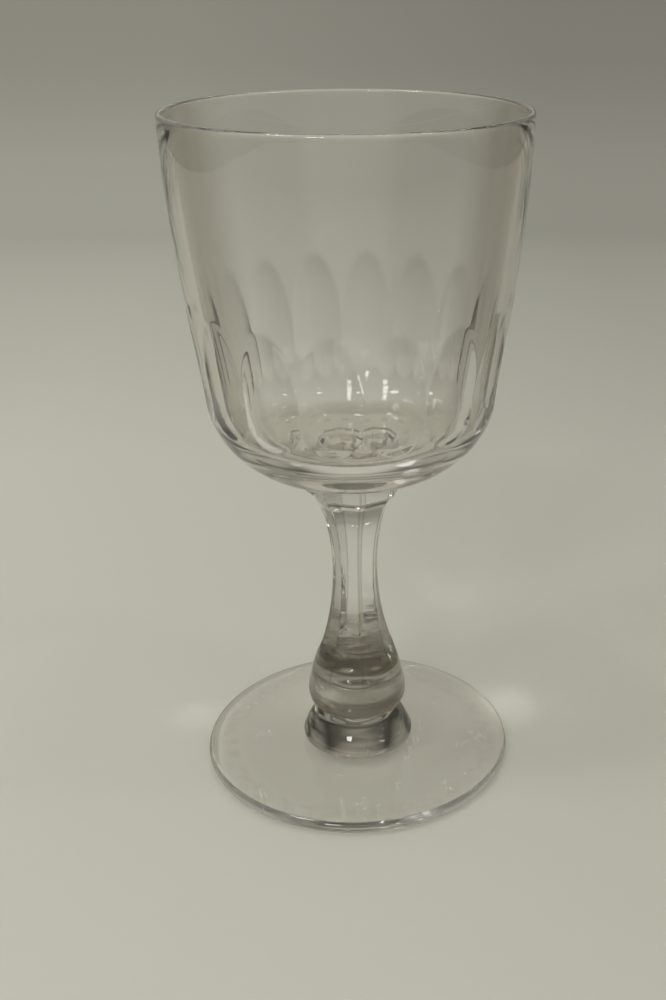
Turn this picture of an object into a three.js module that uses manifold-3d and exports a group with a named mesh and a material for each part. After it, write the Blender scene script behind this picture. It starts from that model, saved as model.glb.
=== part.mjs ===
// A cut-glass red wine glass, in millimetres, +Z up, standing on z = 0 with its axis on Z.
// The bowl, the stem, the collar and the foot are separate gathers of glass, fused face to face.
import * as THREE from "three";
import { mergeVertices } from "three/addons/utils/BufferGeometryUtils.js";
import Module from "manifold-3d";

const wasm = await Module();
wasm.setup();

// Foot: a disc with a round edge that stands on a flat ring round a shallow hollow.
const footRadius = 33.9;
const footEdgeThickness = 2.8;
const footSeatHeight = 3.8;
const footHollowRadius = 26;
const footHollowDepth = 0.8;

// Collar: the bead between the foot and the stem, drawn in to a waist.
const collarHeight = 7.9;
const collarRadius = 12.25;
const collarBaseRadius = 12.1;
const collarWidestHeight = 0.8;
const collarEdgeHeight = 0.9;
const waistRadius = 8.5;

// Stem: a round knop below, an eight-sided neck above that flares into a capital under the bowl.
const stemLength = 56.3;
const stemFacets = 8;
const stemRidgeTurn = 7.5;
const knopRadius = 10.84;
const knopUndercut = 0.85;
const knopWidestHeight = 3.4;
const knopFullHeight = 6.6;
const knopShoulderHeight = 16.3;
const knopShoulderRadius = 7.55;
const neckHeight = 33.3;
const neckRadius = 4.95;
const neckSweepRadius = 56;
const capitalRadius = 10.3;
const capitalBand = 4;
const capitalFlareRound = 0.4;
const facetEndHeight = 17.3;
const facetEndRadius = 20;

// Bowl: straight-sided, thin at the rim, with a flat floor over a thick base.
const bowlHeight = 72;
const bowlSeatMargin = 0.2;
const rimRadius = 35;
const rimWall = 1.3;
const shoulderRadius = 29.5;
const shoulderWall = 3;
const wallLean = THREE.MathUtils.degToRad(8.1);
const wallBendHeight = 38;
const cornerRadius = 19.2;
const crownRadius = 62;
const baseThickness = 8;
const innerCornerRadius = 9;
const innerBendHeight = 26;

// Flutes: shallow hollow cuts up the outside of the bowl, each ending in an arch.
const fluteCount = 16;
const fluteRidgeTurn = 4;
const fluteDepth = 1;
const fluteTopHeight = 37.5;
const fluteWheelRadius = 136;
const fluteHollowRadius = 45;
const fluteEndAngle = THREE.MathUtils.degToRad(18);
const fluteEndFade = 6.5;

// Levels of the joints, from the foot up.
const footTop = footSeatHeight;
const stemBase = footTop + collarHeight;
const bowlBase = stemBase + stemLength;
const rimTop = bowlBase + bowlHeight;
const bowlSeatRadius = capitalRadius + bowlSeatMargin;

// Steps in which round shapes are cut into flats.
const stepsAround = 64;
const cornerSteps = 7;
const wallSteps = 4;
const bendSteps = 3;
const lipSteps = 4;
const neckSteps = 15;
const fluteStepsAlong = 15;
const fluteStepsAcross = 4;

// How far cutters reach past the glass that they take off.
const cutterOverrun = 1;
const cutterBacking = 6;

const glass = new THREE.MeshStandardMaterial({
  color: 0xdfe3dc,
  roughness: 0.04,
  metalness: 0,
  transparent: true,
  opacity: 0.45,
});

// A closed geometry as a solid that can be cut: shared corners are merged, empty triangles dropped.
function solidOf(geometry) {
  const bare = geometry.clone();
  bare.deleteAttribute("normal");
  bare.deleteAttribute("uv");
  const merged = mergeVertices(bare, 1e-4);
  const corners = merged.index.array;
  const kept = [];
  for (let i = 0; i < corners.length; i += 3) {
    const [a, b, c] = corners.slice(i, i + 3);
    if (a !== b && b !== c && c !== a) kept.push(a, b, c);
  }
  return new wasm.Manifold(
    new wasm.Mesh({
      numProp: 3,
      vertProperties: merged.attributes.position.array,
      triVerts: new Uint32Array(kept),
    }),
  );
}

// A cut solid back as a geometry.
function geometryOf(solid) {
  const cut = solid.getMesh();
  return new THREE.BufferGeometry()
    .setAttribute("position", new THREE.BufferAttribute(cut.vertProperties, 3))
    .setIndex(new THREE.BufferAttribute(cut.triVerts, 1));
}

function subMesh(name, geometry) {
  const mesh = new THREE.Mesh(geometry, glass.clone());
  mesh.name = name;
  return mesh;
}

// A profile of (radius, height) points turned round Z. Turn 0 faces -Y, and turns run towards +X.
function turned(profile, ridgeTurn = 0) {
  const start = THREE.MathUtils.degToRad(ridgeTurn);
  return new THREE.LatheGeometry(profile, stepsAround, start).rotateX(Math.PI / 2);
}

// One cutter, drawn towards +X, taken off all round the axis, half a step from each ridge.
function cutAround(blank, cutter, count, ridgeTurn) {
  const step = 360 / count;
  let cut = blank;
  for (let i = 0; i < count; i += 1) {
    const turn = ridgeTurn + (i + 0.5) * step;
    cut = cut.subtract(cutter.rotate([0, 0, turn - 90]));
  }
  return cut;
}

const at = (radius, height) => new THREE.Vector2(radius, height);

// An arc about a centre, drawn the short way between two angles.
function arc(centre, radius, from, to) {
  return new THREE.EllipseCurve(centre.x, centre.y, radius, radius, from, to, to < from);
}

function bend(from, through, to) {
  return new THREE.QuadraticBezierCurve(from, through, to);
}

// The foot's outline, from the hollow below to the seat of the collar.
function makeFoot() {
  const edge = footEdgeThickness / 2;
  const edgeCentre = at(footRadius - edge, edge);
  const seat = at(collarBaseRadius, footTop);
  const top = at(edgeCentre.x, footEdgeThickness);
  const hollowSphere = (footHollowRadius ** 2 + footHollowDepth ** 2) / (2 * footHollowDepth);
  const hollowCentre = at(0, footHollowDepth - hollowSphere);
  const hollowEnd = Math.acos(footHollowRadius / hollowSphere);
  const profile = [
    ...arc(hollowCentre, hollowSphere, Math.PI / 2, hollowEnd).getPoints(bendSteps),
    ...arc(edgeCentre, edge, -Math.PI / 2, Math.PI / 2).getPoints(cornerSteps),
    ...bend(top, at((top.x + seat.x) / 2, top.y), seat).getPoints(bendSteps).slice(1),
    at(0, footTop),
  ];
  return subMesh("foot", turned(profile));
}

// The collar's outline: a full edge over the foot, then drawn in to the waist under the knop.
function makeCollar() {
  const base = at(collarBaseRadius, footTop);
  const widest = at(collarRadius, footTop + collarWidestHeight);
  const waist = at(waistRadius, stemBase);
  const edge = at(collarRadius, widest.y + collarEdgeHeight);
  const profile = [
    at(0, footTop),
    ...bend(base, at(collarRadius, base.y), widest).getPoints(bendSteps),
    ...bend(widest, edge, waist).getPoints(cornerSteps).slice(1),
    at(0, stemBase),
  ];
  return subMesh("collar", turned(profile));
}

// Distance of the stem's ridges from the axis at a height above the stem's foot.
function ridgeRadius(height) {
  const above = height - neckHeight;
  if (above < 0) return neckRadius + above ** 2 / (2 * neckSweepRadius);
  const flare = stemLength - capitalBand - neckHeight;
  const reach = flare + capitalFlareRound;
  const swell = (rise) => 1 - Math.sqrt(1 - (rise / reach) ** 2);
  const spread = (capitalRadius - neckRadius) / swell(flare);
  return neckRadius + spread * swell(Math.min(above, flare));
}

// Distance of the facets from the axis: they lift off the glass where they end on the knop.
function facetDistance(height) {
  const lift = Math.max(0, facetEndHeight - height);
  return ridgeRadius(height) * Math.cos(Math.PI / stemFacets) + lift ** 2 / (2 * facetEndRadius);
}

// The round gather that the stem is cut from, wider than the ridges all the way up.
function stemBlank() {
  const waist = at(waistRadius, stemBase);
  const widest = at(knopRadius, stemBase + knopWidestHeight);
  const shoulder = at(knopShoulderRadius, stemBase + knopShoulderHeight);
  const undercut = at(knopRadius, stemBase + knopUndercut);
  const full = at(knopRadius, stemBase + knopFullHeight);
  return [
    at(0, stemBase),
    ...bend(waist, undercut, widest).getPoints(bendSteps + 1),
    ...bend(widest, full, shoulder).getPoints(cornerSteps).slice(1),
    at(capitalRadius + cutterOverrun, bowlBase),
    at(0, bowlBase),
  ];
}

// What one flat wheel takes off: everything outside the sweep of a facet.
function facetCutter() {
  const reach = 2 * Math.max(capitalRadius, knopRadius);
  const lowest = knopWidestHeight;
  const highest = stemLength - capitalBand;
  const outline = new THREE.Shape();
  outline.moveTo(reach, stemBase + lowest);
  for (let i = 0; i <= neckSteps; i += 1) {
    const height = lowest + ((highest - lowest) * i) / neckSteps;
    outline.lineTo(facetDistance(height), stemBase + height);
  }
  outline.lineTo(facetDistance(stemLength), bowlBase + cutterOverrun);
  outline.lineTo(reach, bowlBase + cutterOverrun);
  return solidOf(
    new THREE.ExtrudeGeometry(outline, { depth: 2 * reach, bevelEnabled: false })
      .translate(0, 0, -reach)
      .rotateX(Math.PI / 2),
  );
}

function makeStem() {
  const blank = solidOf(turned(stemBlank(), stemRidgeTurn));
  const cut = cutAround(blank, facetCutter(), stemFacets, stemRidgeTurn);
  return subMesh("stem", geometryOf(cut));
}

// A wall from a shoulder up to the lip, leaning out at the shoulder and straightening above it.
function wallCurve(shoulder, bendHeight, lip) {
  const through = at(shoulder.x + bendHeight * Math.tan(wallLean), shoulder.y + bendHeight);
  return bend(shoulder, through, lip);
}

// The outside of the bowl, from the seat up to the lip: a flat crown, a round corner and the wall.
function outsideCurves() {
  const crownCentre = at(0, bowlBase + Math.sqrt(crownRadius ** 2 - bowlSeatRadius ** 2));
  const across = shoulderRadius - cornerRadius * Math.cos(wallLean);
  const between = crownRadius - cornerRadius;
  const cornerCentre = at(across, crownCentre.y - Math.sqrt(between ** 2 - across ** 2));
  const crownEnd = -Math.acos(across / between);
  const seatAngle = -Math.acos(bowlSeatRadius / crownRadius);
  const shoulder = at(shoulderRadius, cornerCentre.y - cornerRadius * Math.sin(wallLean));
  return {
    crown: arc(crownCentre, crownRadius, seatAngle, crownEnd),
    corner: arc(cornerCentre, cornerRadius, crownEnd, -wallLean),
    wall: wallCurve(shoulder, wallBendHeight, at(rimRadius, rimTop - rimWall / 2)),
    crownEnd,
  };
}

// The inside of the bowl, from the lip down to the middle of the base.
function insidePoints() {
  const floor = bowlBase + baseThickness;
  const lip = at(rimRadius - rimWall, rimTop - rimWall / 2);
  const wallFoot = shoulderRadius - shoulderWall;
  const across = wallFoot - innerCornerRadius * Math.cos(wallLean);
  const centre = at(across, floor + innerCornerRadius);
  const shoulder = at(wallFoot, centre.y - innerCornerRadius * Math.sin(wallLean));
  return [
    ...wallCurve(shoulder, innerBendHeight, lip).getPoints(wallSteps).reverse(),
    ...arc(centre, innerCornerRadius, -wallLean, -Math.PI / 2).getPoints(cornerSteps).slice(1),
    at(0, floor),
  ];
}

// The bowl's outline: up the outside, over the round lip and down the inside.
function bowlProfile() {
  const { crown, corner, wall } = outsideCurves();
  const lip = rimWall / 2;
  const lipCentre = at(rimRadius - lip, rimTop - lip);
  return [
    at(0, bowlBase),
    ...crown.getPoints(1),
    ...corner.getPoints(cornerSteps).slice(1),
    ...wall.getPoints(wallSteps).slice(1),
    ...arc(lipCentre, lip, 0, Math.PI).getPoints(lipSteps).slice(1, -1),
    ...insidePoints(),
  ];
}

// The line of a flute's deepest cut: it follows the bowl at the full depth,
// lifts off in the wheel's own curve at the arch, and runs out on the corner below.
class FluteLine extends THREE.Curve {
  constructor() {
    super();
    const { corner, wall, crownEnd } = outsideCurves();
    this.outside = new THREE.CurvePath();
    this.outside.add(corner);
    this.outside.add(wall);
    this.outsideLength = this.outside.getLength();
    this.end = cornerRadius * Math.max(0, -fluteEndAngle - crownEnd);
    this.top = this.lengthAt(bowlBase + fluteTopHeight);
    this.run = Math.sqrt(2 * fluteWheelRadius * fluteDepth);
  }

  // Length along the outside, from the end of the crown, at a height.
  lengthAt(height) {
    const halvings = 40;
    let low = 0;
    let high = 1;
    for (let i = 0; i < halvings; i += 1) {
      const middle = (low + high) / 2;
      if (this.outside.getPointAt(middle).y < height) low = middle;
      else high = middle;
    }
    return low * this.outsideLength;
  }

  depth(length) {
    const above = Math.max(0, length - (this.top - this.run));
    const below = Math.max(0, this.end + fluteEndFade - length);
    const topLift = above ** 2 / (2 * fluteWheelRadius);
    const endLift = fluteDepth * (below / fluteEndFade) ** 2;
    return fluteDepth - topLift - endLift;
  }

  getPoint(t, target = new THREE.Vector3()) {
    const start = Math.max(0, this.end - cutterOverrun);
    const stop = this.top + 2 * cutterOverrun;
    const length = start + t * (stop - start);
    const share = length / this.outsideLength;
    const point = this.outside.getPointAt(share);
    const along = this.outside.getTangentAt(share);
    const depth = this.depth(length);
    return target.set(point.x - along.y * depth, 0, point.y + along.x * depth);
  }
}

// What the wheel takes off in one flute: its rounded edge, carried along the flute's line.
function fluteCutter() {
  const half = rimRadius * Math.tan(Math.PI / fluteCount) + cutterOverrun;
  const spread = Math.asin(half / fluteHollowRadius);
  const rise = fluteHollowRadius * (1 - Math.cos(spread));
  const inward = -Math.PI / 2;
  const edge = new THREE.Shape();
  edge.absarc(0, fluteHollowRadius, fluteHollowRadius, inward - spread, inward + spread);
  edge.lineTo(half, rise + cutterBacking);
  edge.lineTo(-half, rise + cutterBacking);
  return solidOf(
    new THREE.ExtrudeGeometry(edge, {
      steps: fluteStepsAlong,
      curveSegments: fluteStepsAcross,
      extrudePath: new FluteLine(),
    }),
  );
}

function makeBowl() {
  const blank = solidOf(turned(bowlProfile(), fluteRidgeTurn));
  const cut = cutAround(blank, fluteCutter(), fluteCount, fluteRidgeTurn);
  return subMesh("bowl", geometryOf(cut));
}

const wineGlass = new THREE.Group();
wineGlass.add(makeFoot(), makeCollar(), makeStem(), makeBowl());

export default wineGlass;
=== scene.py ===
"""A cut-glass red wine glass on a pale sweep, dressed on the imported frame.

Lengths are in millimetres until they are placed.
"""
import math
import bmesh
import bpy
import numpy as np
from mathutils import Matrix, Vector


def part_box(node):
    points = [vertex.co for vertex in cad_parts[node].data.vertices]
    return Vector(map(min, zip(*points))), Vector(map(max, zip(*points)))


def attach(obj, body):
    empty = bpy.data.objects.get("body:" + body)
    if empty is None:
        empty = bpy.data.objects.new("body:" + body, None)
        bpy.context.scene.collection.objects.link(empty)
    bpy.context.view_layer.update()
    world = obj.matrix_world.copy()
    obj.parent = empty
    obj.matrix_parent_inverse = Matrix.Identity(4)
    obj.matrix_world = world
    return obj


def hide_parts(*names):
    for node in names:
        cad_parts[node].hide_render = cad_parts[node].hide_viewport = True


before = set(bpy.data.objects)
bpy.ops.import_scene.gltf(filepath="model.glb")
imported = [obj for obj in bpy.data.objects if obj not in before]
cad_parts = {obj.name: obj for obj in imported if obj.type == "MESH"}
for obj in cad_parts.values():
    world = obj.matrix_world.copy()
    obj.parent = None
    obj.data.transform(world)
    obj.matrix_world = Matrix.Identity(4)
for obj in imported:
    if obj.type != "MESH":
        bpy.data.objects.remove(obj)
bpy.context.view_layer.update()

MM = 0.001
SAME_POINT = 1e-6
SHARP_ANGLE = math.radians(40)

# Levels of the joints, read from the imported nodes.
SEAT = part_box("collar")[0].z / MM
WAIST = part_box("stem")[0].z / MM
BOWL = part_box("bowl")[0].z / MM
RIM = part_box("bowl")[1].z / MM

# Foot
FOOT_R, FOOT_EDGE = 33.9, 2.8
HOLLOW_R, HOLLOW_DEPTH = 26.0, 0.8
STANDING_RING_R, STANDING_RING_TOP = 29.2, 0.6
# Collar
COLLAR_R, COLLAR_BASE_R = 12.25, 12.1
COLLAR_WIDEST, COLLAR_EDGE = 0.8, 0.9
WAIST_R = 8.5
# Stem
FACETS, STEM_TURN = 8, 7.5
KNOP_R, KNOP_UNDERCUT, KNOP_WIDEST = 10.84, 0.85, 3.4
KNOP_FULL, KNOP_SHOULDER, KNOP_SHOULDER_R = 6.6, 16.3, 7.55
NECK_H, NECK_R, NECK_SWEEP = 33.3, 4.95, 56.0
CAPITAL_R, CAPITAL_BAND, FLARE_ROUND = 10.3, 4.0, 0.4
FACET_END_H, FACET_END_R = 17.3, 20.0
RIDGE_ROUND, SCALLOP_ROUND = 0.2, 0.05
# Width and fade of the painted shade along the stem's ridges.
RIDGE_SHADE_WIDTH, RIDGE_SHADE_FADE = 0.28, 2
# Bowl
SEAT_R, SEAT_FACE_R = 10.5, 10.1
RIM_R, RIM_WALL = 35.0, 1.3
SHOULDER_R, SHOULDER_WALL = 29.5, 3.0
LEAN = math.radians(8.1)
BEND_H, INNER_BEND_H = 38.0, 26.0
CORNER_R, CROWN_R = 19.2, 62.0
BASE_T, INNER_CORNER_R = 8.0, 9.0
# Flutes
FLUTES, FLUTE_TURN = 16, 4.0
FLUTE_DEPTH, FLUTE_TOP = 1.0, 37.5
WHEEL_R, FLUTE_HOLLOW_R = 136.0, 45.0
FLUTE_END, FLUTE_FADE = math.radians(18), 6.5
ARRIS_ROUND, FLUTE_EDGE_ROUND = 0.03, 0.02
UNCUT_BY_CROWN, ROUNDING_LEFT = 0.5, 0.002

# Glass: its colour looked straight through, its painted shade at a slant and along a ridge, and its colour on
# the ground ring.
LEAD_GLASS_IOR = 1.52
CLEAR, SLANT_SHADE = (0.985, 0.980, 0.965), (0.62, 0.59, 0.53)
RIDGE_SHADE, GROUND = (0.50, 0.47, 0.41), (0.62, 0.60, 0.55)
SLANTS, SILHOUETTE = (0.26, 0.50), 0.88
WAVE_HEIGHT = 0.25
MARK_ROUGHNESS, GRAIN_HEIGHT, SCRATCH_DEPTH = 0.35, 0.02, 0.01
# The knop's rings from tooling fade from here up, as a share of the banded height.
TOOLED_FROM, TOOLED_RINGS = 0.35, 4.0
# Painted shade on the stem by height above the waist: dark bands over the knop and up the neck.
STEM_PAINTED_SHADE = (
    (0, (0.95, 0.93, 0.90)),
    (0.9, (0.90, 0.88, 0.84)),
    (1.6, (0.22, 0.20, 0.165)),
    (4.8, (0.17, 0.155, 0.125)),
    (5.7, (0.56, 0.54, 0.49)),
    (7.6, (0.62, 0.60, 0.55)),
    (8.6, (0.30, 0.28, 0.235)),
    (14, (0.24, 0.22, 0.185)),
    (17.5, (0.40, 0.375, 0.325)),
    (19.5, (0.68, 0.66, 0.61)),
    (26, (1, 1, 1)),
)
LOOKS = {
    # The foot's slant colour is near black: painted shade along its rounded edge.
    "foot": dict(marks={"Scratch": 0.9, "Dust": 0.8, "Polish": 0.01, "Waves": 0.6, "Worn": 0.35},
                 clear=(0.980, 0.974, 0.962), edge=(0.32, 0.295, 0.245), slants=(0.64, 0.76)),
    # The collar's colour is grey all through and darker at a slant: painted shade for how dark the thick collar
    # looks.
    "collar": dict(marks={"Scratch": 0.4, "Dust": 0.6, "Polish": 0.01, "Waves": 0.8, "Rings": 3.2},
                   clear=(0.50, 0.48, 0.44), edge=(0.42, 0.395, 0.35), slants=(0.40, 0.70)),
    "stem": dict(marks={"Scratch": 0.4, "Dust": 0.4, "Polish": 0.005, "Waves": 0.8, "Rings": 0.5},
                 clear=CLEAR, edge=SLANT_SHADE, slants=SLANTS, shade_bands=STEM_PAINTED_SHADE, shaded_ridges=True),
    "bowl": dict(marks={"Scratch": 0.5, "Dust": 0.5, "Polish": 0.005, "Waves": 0.6},
                 clear=CLEAR, edge=SLANT_SHADE, slants=SLANTS),
}

# Paper sweep, in metres: its tone from the front to the back, darkened towards the back by painted shade, and
# how much of it is left at the right, where painted shade darkens it further.
SWEEP_DEPTH, SWEEP_WIDTH = (-0.1, 0.75), (-0.12, 0.14)
SWEEP_TONES_AND_SHADE = ((0.0, 0.46), (0.07, 0.445), (0.12, 0.435), (0.33, 0.435),
               (0.48, 0.40), (0.71, 0.368), (0.89, 0.315), (0.96, 0.263))
PAPER_TINT, SWEEP_RIGHT_SHADE = (1.0, 0.98, 0.83), 0.82

# Room: (azimuth from the camera's side, elevation, full, fade, level) of each soft patch of light, in degrees.
WALLS = (
    (180, 8, 16, 33, 0.46),
    (180, 44, 8, 26, 0.10),
    (135, 20, 6, 22, 0.34),
    (225, 20, 6, 22, 0.34),
    (0, 2, 18, 42, 0.34),
    (0, 90, 10, 35, 0.12),
)
# Lamps, in metres and watts: (name, place, size, power).
LAMPS = (
    ("window_left", (-0.46, -0.18, 1.04), (0.17, 0.22), 1.9),
    ("window_low", (-0.36, -0.96, 0.80), (0.20, 0.24), 2.4),
    ("window_right", (0.50, -0.16, 1.02), (0.09, 0.13), 0.5),
)
LAMP_AIM = Vector((0, 0, 0.05))
BOUNCES = 32


def bezier(start, pull, end, steps):
    """Points on a curve from start to end that is drawn towards pull."""
    t = np.linspace(0, 1, steps + 1)[:, None]
    start, pull, end = (np.array(p, float) for p in (start, pull, end))
    return (1 - t) ** 2 * start + 2 * t * (1 - t) * pull + t ** 2 * end


def arc(centre, radius, start, end, steps):
    """Points round a centre, from one angle to another."""
    t = np.linspace(start, end, steps + 1)
    return np.stack([centre[0] + radius * np.cos(t), centre[1] + radius * np.sin(t)], -1)


def line(start, end, steps):
    """Points on a straight line."""
    t = np.linspace(0, 1, steps + 1)[:, None]
    return (1 - t) * np.array(start, float) + t * np.array(end, float)


def outline(*runs):
    """Runs of (radius, height) points, one after the other, with each shared end kept once."""
    points = [runs[0]]
    for run in runs[1:]:
        shared = np.hypot(*(run[0] - points[-1][-1])) < SAME_POINT
        points.append(run[1:] if shared else run)
    return np.concatenate(points)


def foot_outline():
    """A shallow hollow, the standing ring, a round edge, and a top that rises to the collar."""
    edge = FOOT_EDGE / 2
    centre = (FOOT_R - edge, edge)
    sphere = (HOLLOW_R ** 2 + HOLLOW_DEPTH ** 2) / (2 * HOLLOW_DEPTH)
    hollow_end = math.acos(HOLLOW_R / sphere)
    hollow = arc((0, HOLLOW_DEPTH - sphere), sphere, math.pi / 2, hollow_end, steps=30)
    ring = line(hollow[-1], (centre[0], 0), steps=8)
    round_edge = arc(centre, edge, -math.pi / 2, math.pi / 2, steps=24)
    top = (centre[0], FOOT_EDGE)
    pull = ((top[0] + COLLAR_BASE_R) / 2, FOOT_EDGE)
    return outline(hollow, ring, round_edge, bezier(top, pull, (COLLAR_BASE_R, SEAT), steps=40),
                   line((COLLAR_BASE_R, SEAT), (0, SEAT), steps=6))


def collar_outline():
    """A bead that rolls out over the foot and draws in to the waist."""
    widest = (COLLAR_R, SEAT + COLLAR_WIDEST)
    return outline(line((0, SEAT), (COLLAR_BASE_R, SEAT), steps=6),
                   bezier((COLLAR_BASE_R, SEAT), (COLLAR_R, SEAT), widest, steps=6),
                   bezier(widest, (COLLAR_R, widest[1] + COLLAR_EDGE), (WAIST_R, WAIST), steps=40),
                   line((WAIST_R, WAIST), (0, WAIST), steps=6))


def ridge_radius(h):
    """How far the stem's ridges are from its axis, at a height above the waist."""
    flare = BOWL - WAIST - CAPITAL_BAND - NECK_H
    reach = flare + FLARE_ROUND

    def swell(above):
        return 1 - np.sqrt(1 - (above / reach) ** 2)

    spread = (CAPITAL_R - NECK_R) / swell(flare)
    above = np.clip(h - NECK_H, 0, flare)
    return NECK_R + np.where(h < NECK_H, (h - NECK_H) ** 2 / (2 * NECK_SWEEP), spread * swell(above))


def facet_distance(h):
    """How far the facets are from the axis. At their lower ends they run out through the knop."""
    lift = np.maximum(0, FACET_END_H - h)
    return ridge_radius(h) * math.cos(math.pi / FACETS) + lift ** 2 / (2 * FACET_END_R)


def stem_blank():
    """The knop before it is cut, below and above its widest ring."""
    widest = (KNOP_R, WAIST + KNOP_WIDEST)
    lower = bezier((WAIST_R, WAIST), (KNOP_R, WAIST + KNOP_UNDERCUT), widest, steps=18)
    upper = bezier(widest, (KNOP_R, WAIST + KNOP_FULL), (KNOP_SHOULDER_R, WAIST + KNOP_SHOULDER), steps=50)
    return lower, upper


def bowl_curves():
    """The crown over the seat and the corner round to the shoulder: centres, angles of their ends, shoulder."""
    crown_centre = BOWL + math.sqrt(CROWN_R ** 2 - SEAT_R ** 2)
    across = SHOULDER_R - CORNER_R * math.cos(LEAN)
    between = CROWN_R - CORNER_R
    corner = (across, crown_centre - math.sqrt(between ** 2 - across ** 2))
    crown_end = -math.acos(across / between)
    seat = -math.acos(SEAT_R / CROWN_R)
    shoulder = (SHOULDER_R, corner[1] - CORNER_R * math.sin(LEAN))
    return crown_centre, corner, crown_end, seat, shoulder


def wall(shoulder, bend, lip, steps):
    """The bowl's side, which leans out at the shoulder and comes upright at the lip."""
    pull = (shoulder[0] + bend * math.tan(LEAN), shoulder[1] + bend)
    return bezier(shoulder, pull, lip, steps)


def bowl_inside():
    """From the lip down the inside, round a tight corner and across the flat floor."""
    floor = BOWL + BASE_T
    lip = (RIM_R - RIM_WALL, RIM - RIM_WALL / 2)
    inner_r = SHOULDER_R - SHOULDER_WALL
    centre = (inner_r - INNER_CORNER_R * math.cos(LEAN), floor + INNER_CORNER_R)
    shoulder = (inner_r, centre[1] - INNER_CORNER_R * math.sin(LEAN))
    return outline(wall(shoulder, INNER_BEND_H, lip, steps=16)[::-1],
                   arc(centre, INNER_CORNER_R, -LEAN, -math.pi / 2, steps=26),
                   line((centre[0], floor), (0, floor), steps=5))


def smooth_max(a, b, width):
    """The larger of two values, with the corner between them rounded."""
    return (a + b + np.sqrt((a - b) ** 2 + width ** 2)) / 2


def smooth_min(a, b, width):
    """The smaller of two values, with the corner between them rounded."""
    return (a + b - np.sqrt((a - b) ** 2 + width ** 2)) / 2


def spun(name, points, sectors, steps, turn=0.0):
    """A closed outline of (radius, height) points spun through one sector, which is repeated full circle."""
    turn = math.radians(turn)
    bm = bmesh.new()
    station = bm.verts.layers.int.new("station")
    verts = []
    for i, (r, z) in enumerate(points):
        v = bm.verts.new((r * MM * math.sin(turn), -r * MM * math.cos(turn), z * MM))
        v[station] = i
        verts.append(v)
    edges = [bm.edges.new(pair) for pair in zip(verts, verts[1:])]
    angle = 2 * math.pi / sectors
    bmesh.ops.spin(bm, geom=verts + edges, cent=(0, 0, 0), axis=(0, 0, 1), dvec=(0, 0, 0),
                   angle=angle, steps=steps, use_merge=False, use_normal_flip=False, use_duplicate=False)
    while angle < 2 * math.pi - 0.001:
        whole = bm.verts[:] + bm.edges[:] + bm.faces[:]
        copied = bmesh.ops.duplicate(bm, geom=whole)["geom"]
        moved = [e for e in copied if isinstance(e, bmesh.types.BMVert)]
        bmesh.ops.rotate(bm, verts=moved, cent=(0, 0, 0), matrix=Matrix.Rotation(angle, 3, "Z"))
        angle *= 2
    bmesh.ops.remove_doubles(bm, verts=bm.verts[:], dist=SAME_POINT)
    bmesh.ops.recalc_face_normals(bm, faces=bm.faces[:])
    mesh = bpy.data.meshes.new(name)
    bm.to_mesh(mesh)
    bm.free()
    piece = bpy.data.objects.new(name, mesh)
    bpy.context.scene.collection.objects.link(piece)
    return piece


def points_of(mesh):
    """Where a mesh's vertices are, one row each."""
    co = np.empty(len(mesh.vertices) * 3)
    mesh.vertices.foreach_get("co", co)
    return co.reshape(-1, 3) / MM


def reshape(piece, move):
    """Move the vertices by a function of their station, radius, height and angle round from the front."""
    mesh = piece.data
    x, y, z = points_of(mesh).T
    station = np.empty(len(x), np.int32)
    mesh.attributes["station"].data.foreach_get("value", station)
    r, z, theta = move(station, np.hypot(x, y), z, np.arctan2(x, -y))
    moved = np.stack([r * np.sin(theta), -r * np.cos(theta), z], -1) * MM
    mesh.vertices.foreach_set("co", moved.astype(np.float32).ravel())
    mesh.update()


def finish_mesh(piece):
    """Shade the piece smooth but for its cut edges."""
    mesh = piece.data
    mesh.attributes.remove(mesh.attributes["station"])
    mesh.polygons.foreach_set("use_smooth", [True] * len(mesh.polygons))
    mesh.set_sharp_from_angle(angle=SHARP_ANGLE)
    mesh.update()


def gather(theta, count, turn, pull):
    """The angle round, with columns drawn towards the ridges, and its offset from the nearest cut's middle."""
    step = 2 * math.pi / count
    middle = math.radians(turn) + step / 2
    which = np.round((theta - middle) / step)
    u = (theta - middle - which * step) / (step / 2)
    u = u * (1 + pull) - pull * u ** 3
    phi = u * step / 2
    return middle + which * step + phi, phi


def eight_sided(distance, phi):
    """Radius of eight facets at that distance from the axis, at an angle from the middle of the nearest."""
    own = distance / np.cos(phi)
    other = distance / np.cos(2 * math.pi / FACETS - np.abs(phi))
    return smooth_min(own, other, RIDGE_ROUND)


def make_stem():
    """A round knop under a plain cone, with eight facets cut down both and a flat eight-sided seat on top."""
    lower, upper = stem_blank()
    joint = WAIST + KNOP_SHOULDER
    band = BOWL - CAPITAL_BAND
    flare_end = band - 3
    heights = np.concatenate([np.linspace(joint, flare_end, 60), np.linspace(flare_end, band, 16)[1:],
                              np.linspace(band, BOWL, 12)[1:]])
    cone_top = CAPITAL_R + 1
    cone = np.interp(heights, [joint, BOWL], [KNOP_SHOULDER_R, cone_top])
    rings = 6
    points = outline(line((0, WAIST), (WAIST_R, WAIST), steps=6), lower, upper,
                     np.stack([cone, heights], -1), line((cone_top, BOWL), (0, BOWL), rings))
    seat_edge = len(points) - 1 - rings
    piece = spun("stem_glass", points, sectors=FACETS, steps=24, turn=STEM_TURN)

    def move(station, r, z, theta):
        theta, phi = gather(theta, FACETS, STEM_TURN, pull=0.5)
        height = z - WAIST
        cut = smooth_min(r, eight_sided(facet_distance(height), phi), SCALLOP_ROUND)
        seat = eight_sided(facet_distance(BOWL - WAIST), phi) * (points[station, 0] / cone_top)
        r = np.where(station >= seat_edge, seat, np.where(height > KNOP_WIDEST, cut, r))
        return r, z, theta

    reshape(piece, move)
    mark_ridge_shade(piece)
    finish_mesh(piece)
    return piece


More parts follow.
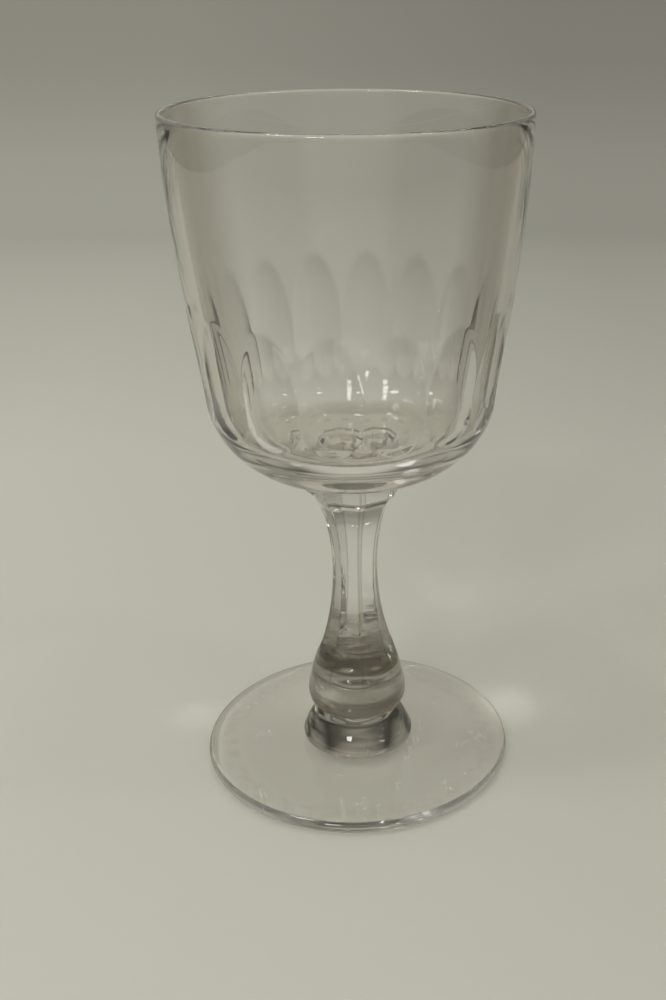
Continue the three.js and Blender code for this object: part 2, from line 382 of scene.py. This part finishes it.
def mark_ridge_shade(piece):
    """How near each point lies to a ridge of the stem, as an attribute for the painted shade in its material.

    The painted shade fades towards the capital's top, and towards the level where the ridges come out of the
    knop.
    """
    x, y, z = points_of(piece.data).T
    step = 2 * math.pi / FACETS
    off = np.arctan2(x, -y) - math.radians(STEM_TURN)
    off = off - np.round(off / step) * step
    near = np.clip(1 - np.hypot(x, y) * np.abs(off) / RIDGE_SHADE_WIDTH, 0, 1)
    knop = stem_blank()[1]
    heights = np.linspace(KNOP_FULL, KNOP_SHOULDER, 200)
    uncut = np.interp(heights + WAIST, knop[:, 1], knop[:, 0])
    ridges_start = heights[np.argmax(facet_distance(heights) / math.cos(math.pi / FACETS) < uncut)]
    above_knop = np.clip((z - WAIST - ridges_start) / RIDGE_SHADE_FADE, 0, 1)
    below_seat = np.clip((BOWL - z) / RIDGE_SHADE_FADE, 0, 1)
    near = near * above_knop * below_seat
    ridge_shade = piece.data.attributes.new("ridge_shade", "FLOAT", "POINT")
    ridge_shade.data.foreach_set("value", near.astype(np.float32))


def make_bowl():
    """The bowl, with sixteen flutes cut by a wheel: hollow across, arched above, and run out on the corner."""
    crown_centre, corner, crown_end, seat, shoulder = bowl_curves()
    face = line((0, BOWL), (SEAT_FACE_R, BOWL), steps=5)
    crown = arc((0, crown_centre), CROWN_R, seat, crown_end, steps=12)
    bend = arc(corner, CORNER_R, crown_end, -LEAN, steps=80)
    # The side keeps every third row up to the arches, and every tenth above them.
    side = wall(shoulder, BEND_H, (RIM_R, RIM - RIM_WALL / 2), steps=400)[np.r_[0:250:3, 250:401:10]]
    lip = arc((RIM_R - RIM_WALL / 2, RIM - RIM_WALL / 2), RIM_WALL / 2, 0, math.pi, steps=12)
    outside = outline(crown, bend, side)
    points = outline(face, outside, lip, bowl_inside())
    first = len(face)
    last = first + len(outside) - 1

    # Directions and lengths along the outside, from the end of the crown.
    lengths = np.concatenate([[0], np.cumsum(np.hypot(*np.diff(outside, axis=0).T))])
    lengths = lengths - lengths[len(crown) - 1]
    tangent = np.gradient(outside, axis=0)
    tangent /= np.hypot(*tangent.T)[:, None]
    top = np.interp(BOWL + FLUTE_TOP, outside[:, 1], lengths)
    run = math.sqrt(2 * WHEEL_R * FLUTE_DEPTH)
    end = CORNER_R * max(0, -FLUTE_END - crown_end)

    def depth(s):
        above = np.maximum(0, s - (top - run))
        below = np.maximum(0, end + FLUTE_FADE - s)
        return FLUTE_DEPTH - above ** 2 / (2 * WHEEL_R) - FLUTE_DEPTH * (below / FLUTE_FADE) ** 2

    def cut_depth(s, r, t, phi):
        x = r * np.sin(phi)
        n_r, n_z = t[:, 1], -t[:, 0]
        s = s + r * (np.cos(phi) - 1) * t[:, 0]
        hollow = FLUTE_HOLLOW_R - np.sqrt(FLUTE_HOLLOW_R ** 2 - x ** 2)
        return (depth(s) - hollow - r * n_r * (1 - np.cos(phi))) / (n_r ** 2 * np.cos(phi) + n_z ** 2)

    def move(station, r, z, theta):
        theta, phi = gather(theta, FLUTES, FLUTE_TURN, pull=0.3)
        k = np.clip(station - first, 0, last - first)
        s, t = lengths[k], tangent[k]
        own = cut_depth(s, r, t, phi)
        other = cut_depth(s, r, t, 2 * math.pi / FLUTES - np.abs(phi))
        taken = smooth_max(smooth_max(own, other, ARRIS_ROUND), 0, FLUTE_EDGE_ROUND)
        cut = (station >= first) & (station <= last) & (s > UNCUT_BY_CROWN)
        taken = np.where(cut, np.maximum(taken - ROUNDING_LEFT, 0), 0)
        r = r - taken * t[:, 1]
        z = z + taken * t[:, 0]
        # The seat's own edge follows the eight sides of the capital.
        from_facet = gather(theta, FACETS, STEM_TURN, pull=0)[1]
        octagon = CAPITAL_R * math.cos(math.pi / FACETS) / np.cos(from_facet)
        r = np.where(station < first, octagon * (points[station, 0] / SEAT_FACE_R), r)
        return r, z, theta

    piece = spun("bowl_glass", points, sectors=FLUTES, steps=24, turn=FLUTE_TURN)
    reshape(piece, move)
    finish_mesh(piece)
    return piece


def put(tree, kind, inputs, **settings):
    """A new node with its settings, and on each input a value or another node's output."""
    node = tree.nodes.new(kind)
    for name, setting in settings.items():
        setattr(node, name, setting)
    for name, value in inputs.items():
        if isinstance(value, bpy.types.NodeSocket):
            tree.links.new(value, node.inputs[name])
        else:
            node.inputs[name].default_value = value
    return node


def calculated(tree, kind, a, b=None, clamp=False):
    """A value worked out from one or two others."""
    inputs = {0: a} if b is None else {0: a, 1: b}
    return put(tree, "ShaderNodeMath", inputs, operation=kind, use_clamp=clamp).outputs[0]


def spread_over(tree, value, start, end, to_start=0.0, to_end=1.0, interpolation="LINEAR"):
    """A value between start and end, brought between two others."""
    limits = {"Value": value, "From Min": start, "From Max": end, "To Min": to_start, "To Max": to_end}
    return put(tree, "ShaderNodeMapRange", limits, interpolation_type=interpolation).outputs["Result"]


def toned(tree, value, stops):
    """A colour that follows a value through (position, colour) stops."""
    node = put(tree, "ShaderNodeValToRGB", {"Fac": value})
    elements = node.color_ramp.elements
    for i, (where, colour) in enumerate(stops):
        stop = elements[i] if i < 2 else elements.new(where)
        stop.position = where
        stop.color = (*colour, 1)
    return node.outputs["Color"]


def mixed(tree, kind, factor, a, b):
    """One colour over another."""
    colours = {"Factor": factor, "A": a, "B": b}
    return put(tree, "ShaderNodeMix", colours, data_type="RGBA", blend_type=kind).outputs["Result"]


def place_on(tree):
    """The X, Y and Z of a point in its object."""
    place = tree.nodes.new("ShaderNodeTexCoord")
    return put(tree, "ShaderNodeSeparateXYZ", {0: place.outputs["Object"]}).outputs


def wear_group():
    """Old glass: scratches, dust, the waves and rings of its making, and the worn ring it stands on."""
    group = bpy.data.node_groups.new("table_wear", "ShaderNodeTree")
    for name, usual in (("Scratch", 0.5), ("Dust", 0.5), ("Polish", 0.01),
                        ("Waves", 1.0), ("Rings", 0.0), ("Worn", 0.0)):
        socket = group.interface.new_socket(name=name, in_out="INPUT", socket_type="NodeSocketFloat")
        socket.default_value = usual
    for name in ("Roughness", "Height", "Ground"):
        group.interface.new_socket(name=name, in_out="OUTPUT", socket_type="NodeSocketFloat")
    given = group.nodes.new("NodeGroupInput").outputs
    place = group.nodes.new("ShaderNodeTexCoord").outputs["Object"]

    def plus(a, b, clamp=False):
        return calculated(group, "ADD", a, b, clamp)

    def minus(a, b, clamp=False):
        return calculated(group, "SUBTRACT", a, b, clamp)

    def times(a, b, clamp=False):
        return calculated(group, "MULTIPLY", a, b, clamp)

    def stretched(scale, rotation=(0, 0, 0)):
        mapping = put(group, "ShaderNodeMapping", {"Vector": place, "Rotation": rotation, "Scale": scale})
        return mapping.outputs["Vector"]

    def noise(scale, detail, where=place):
        texture = put(group, "ShaderNodeTexNoise", {"Vector": where, "Scale": scale, "Detail": detail})
        return texture.outputs["Fac"]

    def patches(scale, detail, above, gain):
        return times(minus(noise(scale, detail), above), gain, clamp=True)

    def fading(distance, rate, middle=1.0):
        return minus(middle, times(distance, rate), clamp=True)

    # Hairline scratches: thin lines where a stretched noise crosses its middle value.
    streaks = noise(scale=700, detail=2, where=stretched((1.0, 0.16, 1.0), rotation=(0.4, 0.9, 0.3)))
    hairlines = fading(calculated(group, "ABSOLUTE", minus(streaks, 0.5)), rate=90)
    scratch = times(times(hairlines, patches(scale=120, detail=2, above=0.56, gain=9)), given["Scratch"])
    # Dust: sparse grains and a thin film.
    cells = put(group, "ShaderNodeTexVoronoi", {"Vector": place, "Scale": 900})
    grains = fading(cells.outputs["Distance"], rate=9)
    dust = times(times(grains, patches(scale=260, detail=3, above=0.60, gain=14)), given["Dust"])
    film = times(patches(scale=55, detail=4, above=0.45, gain=0.05), given["Dust"])
    # The ring that touches the table, ground dull in patches.
    along = put(group, "ShaderNodeSeparateXYZ", {0: place}).outputs
    from_axis = calculated(group, "SQRT", plus(times(along["X"], along["X"]), times(along["Y"], along["Y"])))
    off_ring = calculated(group, "ABSOLUTE", minus(from_axis, STANDING_RING_R * MM))
    ring = fading(off_ring, rate=620, middle=1.6)
    below = calculated(group, "LESS_THAN", along["Z"], STANDING_RING_TOP * MM)
    ground = times(times(ring, below),
                   times(patches(scale=420, detail=5, above=0.42, gain=3.5), given["Worn"]))
    dulled = times(plus(plus(scratch, dust), plus(film, ground)), MARK_ROUGHNESS)
    # Waves and flat rings from its making, with the grains standing on them and the scratches cut in.
    waves = times(noise(scale=38, detail=1), given["Waves"])
    rings = times(noise(scale=300, detail=1, where=stretched((0.22, 0.22, 1.0))), given["Rings"])
    marks = minus(times(dust, GRAIN_HEIGHT), times(scratch, SCRATCH_DEPTH))
    put(group, "NodeGroupOutput", {
        "Roughness": plus(dulled, given["Polish"], clamp=True),
        "Height": plus(plus(waves, rings), marks),
        "Ground": ground,
    })
    return group


def glass(name, wear, marks, clear, edge, slants, shade_bands=None, shaded_ridges=False):
    """Lead glass: clear where it is looked straight through, greyed at a slant by painted shade, and darkened
    by painted shade in bands by height.

    slants are how steep the look is where the painted grey shade begins and where it is full. The shade bands
    are (height above the waist, colour) of painted shade, from the lowest up. The shaded ridges get a painted
    grey shade.
    """
    material = bpy.data.materials.new(name)
    material.use_nodes = True
    tree = material.node_tree
    shader = tree.nodes["Principled BSDF"]
    shader.inputs["Transmission Weight"].default_value = 1.0
    shader.inputs["IOR"].default_value = LEAD_GLASS_IOR
    worn = put(tree, "ShaderNodeGroup", marks, node_tree=wear)

    # Painted shade: the colour goes towards the slant colour where the glass is seen at a glancing angle.
    slant = put(tree, "ShaderNodeLayerWeight", {"Blend": 0.5}).outputs["Facing"]
    outermost = [(c + e) / 2 for c, e in zip(clear, edge)]
    tone = toned(tree, slant, ((slants[0], clear), (slants[1], edge), (SILHOUETTE, edge), (1.0, outermost)))
    # Painted shade: dark bands by height over the knop and neck.
    if shade_bands:
        low, high = (WAIST + shade_bands[0][0]) * MM, (WAIST + shade_bands[-1][0]) * MM
        height = spread_over(tree, place_on(tree)["Z"], low, high)
        stops = [(((WAIST + z) * MM - low) / (high - low), colour) for z, colour in shade_bands]
        tone = mixed(tree, "MULTIPLY", 1.0, tone, toned(tree, height, stops))
        tooled = spread_over(tree, height, TOOLED_FROM, 1.0, to_start=TOOLED_RINGS, to_end=marks["Rings"])
        tree.links.new(tooled, worn.inputs["Rings"])
    # Painted shade: a thin dark line along the stem's ridges.
    if shaded_ridges:
        ridge_shade = put(tree, "ShaderNodeAttribute", {}, attribute_name="ridge_shade").outputs["Fac"]
        tone = mixed(tree, "MULTIPLY", ridge_shade, tone, (*RIDGE_SHADE, 1))
    tone = mixed(tree, "MULTIPLY", worn.outputs["Ground"], tone, (*GROUND, 1))
    tree.links.new(tone, shader.inputs["Base Color"])
    tree.links.new(worn.outputs["Roughness"], shader.inputs["Roughness"])
    relief = {"Height": worn.outputs["Height"], "Strength": 1.0, "Distance": WAVE_HEIGHT * MM}
    tree.links.new(put(tree, "ShaderNodeBump", relief).outputs["Normal"], shader.inputs["Normal"])
    return material


def fused():
    """The face where two gathers melted into each other: nothing is seen of it."""
    material = bpy.data.materials.new("fused_joint")
    material.use_nodes = True
    shader = material.node_tree.nodes["Principled BSDF"]
    shader.inputs["Alpha"].default_value = 0.0
    shader.inputs["Roughness"].default_value = 0.5
    return material


def dress(piece, node, material, joint, levels):
    """The piece in its glass, its joint faces clear, in place of the CAD node."""
    mesh = piece.data
    mesh.materials.append(material)
    mesh.materials.append(joint)
    for face in mesh.polygons:
        flat = abs(face.normal.z) > 0.999
        if flat and any(abs(face.center.z / MM - level) < 0.001 for level in levels):
            face.material_index = 1
    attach(piece, "root")
    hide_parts(node)


wear = wear_group()
joint = fused()
foot = spun("foot_glass", foot_outline(), sectors=16, steps=16)
finish_mesh(foot)
collar = spun("collar_glass", collar_outline(), sectors=16, steps=12)
finish_mesh(collar)
stem = make_stem()
bowl = make_bowl()
for piece, node, levels in ((foot, "foot", (SEAT,)), (collar, "collar", (SEAT, WAIST)),
                            (stem, "stem", (WAIST, BOWL)), (bowl, "bowl", (BOWL,))):
    dress(piece, node, glass(node + "_glass", wear, **LOOKS[node]), joint, levels)


def sweep_material():
    """Plain pale paper, with painted shade making it a little darker where it rises at the back and to the
    right.
    """
    material = bpy.data.materials.new("paper_sweep")
    material.use_nodes = True
    tree = material.node_tree
    shader = tree.nodes["Principled BSDF"]
    shader.inputs["Roughness"].default_value = 0.85
    shader.inputs["Specular IOR Level"].default_value = 0.1
    place = place_on(tree)
    # Painted shade: the tone falls from the front towards the back.
    stops = [(where, [tone * part for part in PAPER_TINT]) for where, tone in SWEEP_TONES_AND_SHADE]
    paper = toned(tree, spread_over(tree, place["Y"], *SWEEP_DEPTH), stops)
    # Painted shade: darker towards the right.
    across = spread_over(tree, place["X"], *SWEEP_WIDTH, to_start=1.0, to_end=SWEEP_RIGHT_SHADE)
    shade = put(tree, "ShaderNodeVectorMath", {0: paper, "Scale": across}, operation="SCALE")
    tree.links.new(shade.outputs["Vector"], shader.inputs["Base Color"])
    return material


def make_sweep():
    """Floor and backdrop in one: flat under the glass, rising in a wide curve behind it."""
    half, front, bend, rise, top = 0.60, -1.20, 0.55, 0.20, 0.02
    under_foot = 0.00015
    steps = 24
    points = [(front, 0.0), (bend, 0.0)]
    for i in range(1, steps + 1):
        a = i / steps * math.pi / 2
        points.append((bend + rise * math.sin(a), rise * (1 - math.cos(a))))
    points.append((bend + rise, rise + top))
    bm = bmesh.new()
    verts = [bm.verts.new((-half, y, z - under_foot)) for y, z in points]
    edges = [bm.edges.new(pair) for pair in zip(verts, verts[1:])]
    made = bmesh.ops.extrude_edge_only(bm, edges=edges)
    moved = [e for e in made["geom"] if isinstance(e, bmesh.types.BMVert)]
    bmesh.ops.translate(bm, verts=moved, vec=(2 * half, 0, 0))
    bmesh.ops.recalc_face_normals(bm, faces=bm.faces[:])
    for face in bm.faces:
        face.smooth = True
    mesh = bpy.data.meshes.new("sweep")
    bm.to_mesh(mesh)
    bm.free()
    sweep = bpy.data.objects.new("sweep", mesh)
    bpy.context.scene.collection.objects.link(sweep)
    mesh.materials.append(sweep_material())


def lamp(name, place, size, power):
    """A soft window of light, turned towards the glass."""
    data = bpy.data.lights.new(name, "AREA")
    data.shape = "RECTANGLE"
    data.size, data.size_y = size
    data.energy = power
    light = bpy.data.objects.new(name, data)
    bpy.context.scene.collection.objects.link(light)
    light.location = place
    light.rotation_euler = (LAMP_AIM - Vector(place)).to_track_quat("-Z", "Y").to_euler()


def make_world(light, view, through, tint, base):
    """An even sky lights the floor. Glass mirrors the room instead: soft patches of light on the dark.

    light is the sky's colour and view the colour behind the sweep. The room has its own tint, a level of base
    where it has no wall, and at least a level of through where it is seen straight through the glass.
    """
    world = bpy.data.worlds.new("room")
    bpy.context.scene.world = world
    world.use_nodes = True
    tree = world.node_tree
    direction = tree.nodes.new("ShaderNodeTexCoord").outputs["Generated"]
    path = tree.nodes.new("ShaderNodeLightPath").outputs
    level = base
    for azimuth, elevation, full, fade, strength in WALLS:
        azimuth, elevation, full, fade = (math.radians(v) for v in (azimuth, elevation, full, fade))
        middle = (math.sin(azimuth) * math.cos(elevation), -math.cos(azimuth) * math.cos(elevation),
                  math.sin(elevation))
        towards = put(tree, "ShaderNodeVectorMath", {0: direction, 1: middle}, operation="DOT_PRODUCT")
        patch = spread_over(tree, towards.outputs["Value"], math.cos(fade), math.cos(full),
                            to_end=strength, interpolation="SMOOTHSTEP")
        level = calculated(tree, "ADD", level, patch)
    straight = calculated(tree, "LESS_THAN", path["Glossy Depth"], 0.5)
    least = calculated(tree, "MULTIPLY", straight, through)
    level = calculated(tree, "MAXIMUM", level, least)
    room = put(tree, "ShaderNodeVectorMath", {0: tint, "Scale": level}, operation="SCALE")
    lights_the_floor = calculated(tree, "GREATER_THAN", path["Diffuse Depth"], 0.5)
    around = mixed(tree, "MIX", lights_the_floor, room.outputs["Vector"], (*light, 1))
    seen = mixed(tree, "MIX", path["Is Camera Ray"], around, (*view, 1))
    tree.links.new(seen, tree.nodes["Background"].inputs["Color"])


def make_camera():
    """Above and in front, tilted down, as the photograph was taken."""
    width, height = 666, 1000
    focal, middle = 1261.4, (400.6, 515.0)
    pitch, yaw, roll = math.radians(24.502), math.radians(2.323), math.radians(-0.089)
    place = Vector((0, -0.2437, 0.1683))
    forward = Vector((math.sin(yaw) * math.cos(pitch), math.cos(yaw) * math.cos(pitch), -math.sin(pitch)))
    right = Vector((math.cos(yaw), -math.sin(yaw), 0))
    up = right.cross(forward)
    turned_right = math.cos(roll) * right + math.sin(roll) * up
    turned_up = -math.sin(roll) * right + math.cos(roll) * up
    data = bpy.data.cameras.new("camera")
    data.sensor_width = 36
    data.lens = focal * data.sensor_width / height
    data.shift_x = -(middle[0] - width / 2) / height
    data.shift_y = (middle[1] - height / 2) / height
    data.clip_start = 0.01
    camera = bpy.data.objects.new("camera", data)
    bpy.context.scene.collection.objects.link(camera)
    turned = Matrix((turned_right, turned_up, -forward)).transposed()
    camera.matrix_world = Matrix.Translation(place) @ turned.to_4x4()
    bpy.context.scene.camera = camera


make_camera()
make_sweep()
make_world(light=(0.97, 0.97, 0.97), view=(0.30, 0.29, 0.26), through=0.27, tint=(1.0, 0.955, 0.81), base=0.06)
for name, place, size, power in LAMPS:
    lamp(name, place, size, power)
cycles = bpy.context.scene.cycles
cycles.blur_glossy = 0
cycles.max_bounces = cycles.glossy_bounces = BOUNCES
cycles.transmission_bounces = cycles.transparent_max_bounces = BOUNCES
bpy.context.scene.view_settings.view_transform = "Standard"
